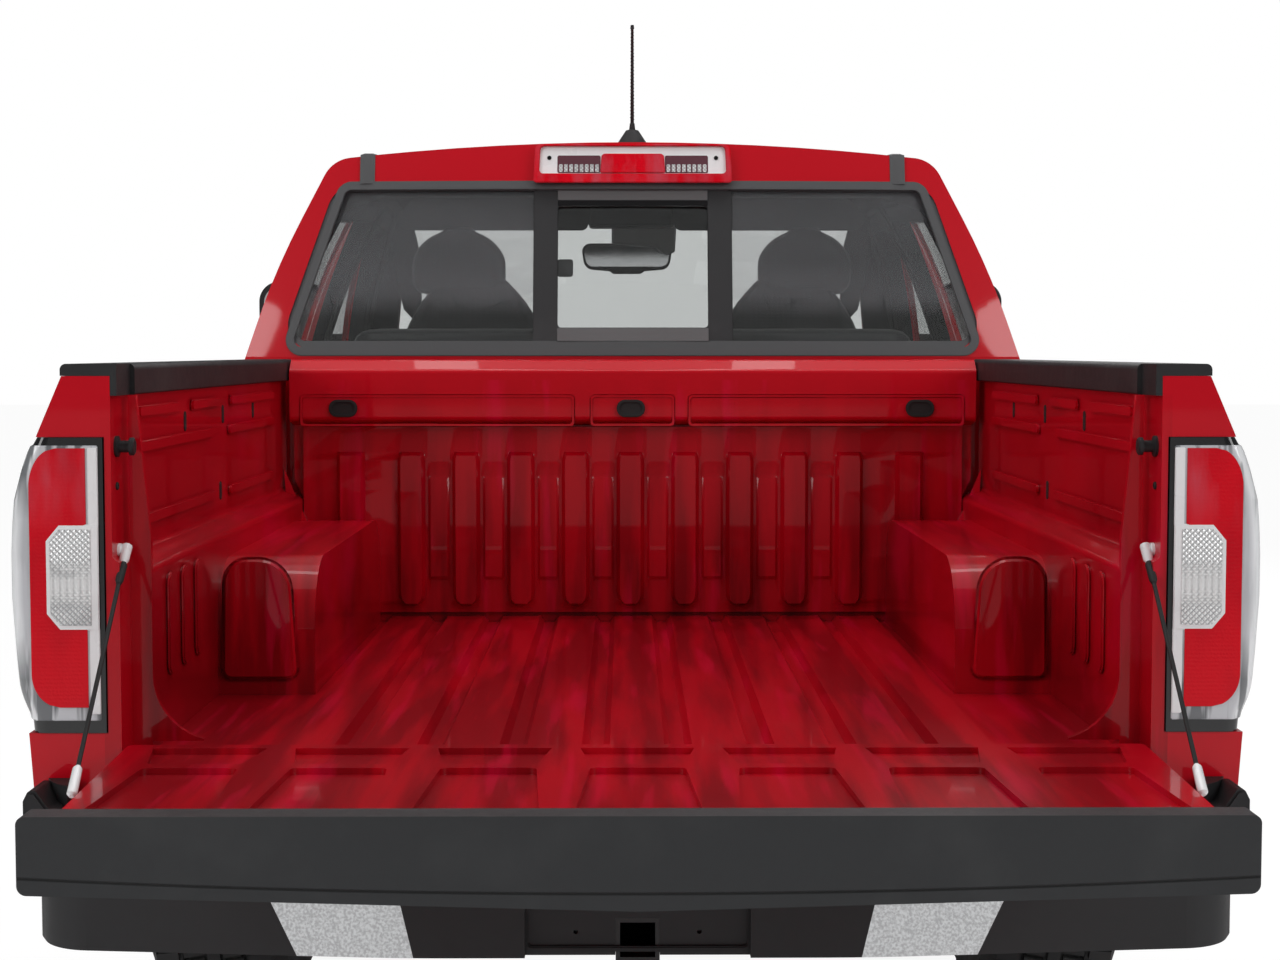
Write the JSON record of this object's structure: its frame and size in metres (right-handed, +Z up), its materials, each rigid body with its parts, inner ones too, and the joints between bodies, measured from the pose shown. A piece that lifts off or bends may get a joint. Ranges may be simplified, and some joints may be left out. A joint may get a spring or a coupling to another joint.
{
  "type": "pickup truck",
  "caption": "Crew-cab pickup truck with an open ribbed cargo bed, hinged doors and hood, steered wheels and a drop-down tailgate lying open on its cables.",
  "frame": {"origin": "on the floor, midway between the nose and the far edge of the open tailgate, on the middle plane", "axes": "+X to the truck's right side, +Y forward towards the nose, +Z up"},
  "size_m": [2.23, 5.869, 2.0819],
  "materials": {
    "body_paint": "gloss red",
    "window_glass": "tinted",
    "black_trim": "grained",
    "grey_trim": "grained",
    "headlamp_lens": "clear",
    "red_lens": "clear red",
    "bright_bumper": "polished",
    "frame_black": "satin",
    "cable_black": "satin",
    "engine_alloy": "as cast",
    "exhaust_steel": "dull",
    "tyre_rubber": "matte",
    "rim_alloy": "satin",
    "spare_rubber": "matte",
    "cabin_plastic": "grained",
    "seat_fabric": "woven",
    "seal_rubber": "matte"
  },
  "bodies": {
    "truck": {"cab_shell": "body_paint", "windshield": "window_glass", "rear_window": "window_glass", "front_fenders": "body_paint", "grille": "black_trim", "headlamps": "headlamp_lens", "front_bumper": "body_paint", "box_side_right": "body_paint", "box_side_left": "body_paint", "rear_lamps": "red_lens", "rail_caps": "black_trim", "box_floor": "body_paint", "box_front_wall": "body_paint", "tailgate_cables": "cable_black", "rear_bumper": "bright_bumper", "bumper_pads": "black_trim", "receiver": "frame_black", "ladder_frame": "frame_black", "suspension": "frame_black", "rear_axle": "frame_black", "powertrain": "engine_alloy", "radiator": "engine_alloy", "fuel_tank": "frame_black", "exhaust": "exhaust_steel", "spare_wheel": "spare_rubber", "dashboard": "cabin_plastic", "seats_front": "seat_fabric", "seat_rear": "seat_fabric", "antenna": "black_trim", "door_seals": "seal_rubber"},
    "door_front_right": {"door_front_right": "body_paint", "glass_front_right": "window_glass", "mirror_right": "black_trim"},
    "door_rear_right": {"door_rear_right": "body_paint", "glass_rear_right": "window_glass"},
    "door_front_left": {"door_front_left": "body_paint", "glass_front_left": "window_glass", "mirror_left": "black_trim"},
    "door_rear_left": {"door_rear_left": "body_paint", "glass_rear_left": "window_glass"},
    "hood": {"hood": "body_paint"},
    "tailgate": {"tailgate": "body_paint", "tailgate_cap": "grey_trim"},
    "knuckle_right": {"knuckle_right": "frame_black"},
    "knuckle_left": {"knuckle_left": "frame_black"},
    "steering_wheel": {"steering_wheel": "cabin_plastic"},
    "wheel_front_right": {"tyre_front_right": "tyre_rubber", "rim_front_right": "rim_alloy"},
    "wheel_front_left": {"tyre_front_left": "tyre_rubber", "rim_front_left": "rim_alloy"},
    "wheel_rear_right": {"tyre_rear_right": "tyre_rubber", "rim_rear_right": "rim_alloy"},
    "wheel_rear_left": {"tyre_rear_left": "tyre_rubber", "rim_rear_left": "rim_alloy"}
  },
  "joints": [
    {"name": "door_front_right_hinge", "type": "hinge", "parent": "truck", "child": "door_front_right", "pos_m": [0.913, 1.1945, 0.93], "axis": [0, 0, 1], "range_deg": [0, 68]},
    {"name": "door_rear_right_hinge", "type": "hinge", "parent": "truck", "child": "door_rear_right", "pos_m": [0.913, 0.1735, 0.93], "axis": [0, 0, 1], "range_deg": [0, 72]},
    {"name": "door_front_left_hinge", "type": "hinge", "parent": "truck", "child": "door_front_left", "pos_m": [-0.913, 1.1945, 0.93], "axis": [0, 0, -1], "range_deg": [0, 68]},
    {"name": "door_rear_left_hinge", "type": "hinge", "parent": "truck", "child": "door_rear_left", "pos_m": [-0.913, 0.1735, 0.93], "axis": [0, 0, -1], "range_deg": [0, 72]},
    {"name": "hood_hinge", "type": "hinge", "parent": "truck", "child": "hood", "pos_m": [0, 1.3755, 1.143], "axis": [1, 0, 0], "range_deg": [0, 50]},
    {"name": "tailgate_hinge", "type": "hinge", "parent": "truck", "child": "tailgate", "pos_m": [0, -2.3355, 0.685], "axis": [1, 0, 0], "range_deg": [-90, 0], "deforming": ["tailgate_cables"]},
    {"name": "steer_right", "type": "hinge", "parent": "truck", "child": "knuckle_right", "pos_m": [0.7245, 2.0095, 0.385], "axis": [0, 0, 1], "range_deg": [-33, 33]},
    {"name": "steer_left", "type": "hinge", "parent": "truck", "child": "knuckle_left", "pos_m": [-0.7245, 2.0095, 0.385], "axis": [0, 0, 1], "range_deg": [-33, 33]},
    {"name": "steering_wheel_turn", "type": "hinge", "parent": "truck", "child": "steering_wheel", "pos_m": [-0.4, 0.8195, 1.075], "axis": [0, -0.9063, 0.4226], "range_deg": [-530, 530]},
    {"name": "roll_front_right", "type": "hinge", "parent": "knuckle_right", "child": "wheel_front_right", "pos_m": [0.7925, 2.0095, 0.385], "axis": [1, 0, 0], "continuous": true},
    {"name": "roll_front_left", "type": "hinge", "parent": "knuckle_left", "child": "wheel_front_left", "pos_m": [-0.7925, 2.0095, 0.385], "axis": [1, 0, 0], "continuous": true},
    {"name": "roll_rear_right", "type": "hinge", "parent": "truck", "child": "wheel_rear_right", "pos_m": [0.7925, -1.2485, 0.385], "axis": [1, 0, 0], "continuous": true},
    {"name": "roll_rear_left", "type": "hinge", "parent": "truck", "child": "wheel_rear_left", "pos_m": [-0.7925, -1.2485, 0.385], "axis": [1, 0, 0], "continuous": true}
  ],
  "couplings": [
    {"joint": "steer_left", "follows": "steer_right", "ratio": 1},
    {"joint": "steering_wheel_turn", "follows": "steer_right", "ratio": 16}
  ]
}
